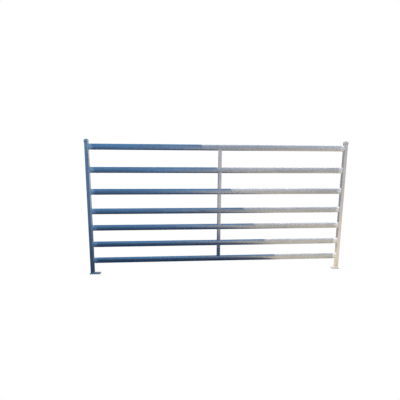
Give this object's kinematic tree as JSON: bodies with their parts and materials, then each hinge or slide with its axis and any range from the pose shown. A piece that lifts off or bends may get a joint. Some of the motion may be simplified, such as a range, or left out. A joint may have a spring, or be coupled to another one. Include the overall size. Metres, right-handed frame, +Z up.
{
  "type": "livestock panel gate",
  "caption": "Rigid welded panel of galvanised tube: level flat-oval rails between square end posts, with a middle stay, domed post caps and flat foot plates.",
  "frame": {"origin": "on the ground under the middle of the panel", "axes": "+X along the panel, -Y the front, +Z up"},
  "size_m": [2.918, 0.06, 1.5],
  "materials": {
    "galvanised_tube": "galvanised, satin with a faint spangle",
    "pressed_cap": "galvanised pressed steel, satin",
    "foot_bar": "galvanised hot-rolled bar, dull",
    "weld_metal": "weld bead under zinc paint, matt"
  },
  "bodies": {
    "root": {"post_left": "galvanised_tube", "post_right": "galvanised_tube", "cap_left": "pressed_cap", "cap_right": "pressed_cap", "foot_left": "foot_bar", "foot_right": "foot_bar", "rail_1": "galvanised_tube", "rail_2": "galvanised_tube", "rail_3": "galvanised_tube", "rail_4": "galvanised_tube", "rail_5": "galvanised_tube", "rail_6": "galvanised_tube", "rail_7": "galvanised_tube", "stay_1": "galvanised_tube", "stay_2": "galvanised_tube", "stay_3": "galvanised_tube", "stay_4": "galvanised_tube", "stay_5": "galvanised_tube", "stay_6": "galvanised_tube", "weld_left_1": "weld_metal", "weld_left_2": "weld_metal", "weld_left_3": "weld_metal", "weld_left_4": "weld_metal", "weld_left_5": "weld_metal", "weld_left_6": "weld_metal", "weld_left_7": "weld_metal", "weld_right_1": "weld_metal", "weld_right_2": "weld_metal", "weld_right_3": "weld_metal", "weld_right_4": "weld_metal", "weld_right_5": "weld_metal", "weld_right_6": "weld_metal", "weld_right_7": "weld_metal", "weld_stay_1_top": "weld_metal", "weld_stay_1_bottom": "weld_metal", "weld_stay_2_top": "weld_metal", "weld_stay_2_bottom": "weld_metal", "weld_stay_3_top": "weld_metal", "weld_stay_3_bottom": "weld_metal", "weld_stay_4_top": "weld_metal", "weld_stay_4_bottom": "weld_metal", "weld_stay_5_top": "weld_metal", "weld_stay_5_bottom": "weld_metal", "weld_stay_6_top": "weld_metal", "weld_stay_6_bottom": "weld_metal", "weld_foot_left": "weld_metal", "weld_foot_right": "weld_metal"}
  },
  "joints": []
}
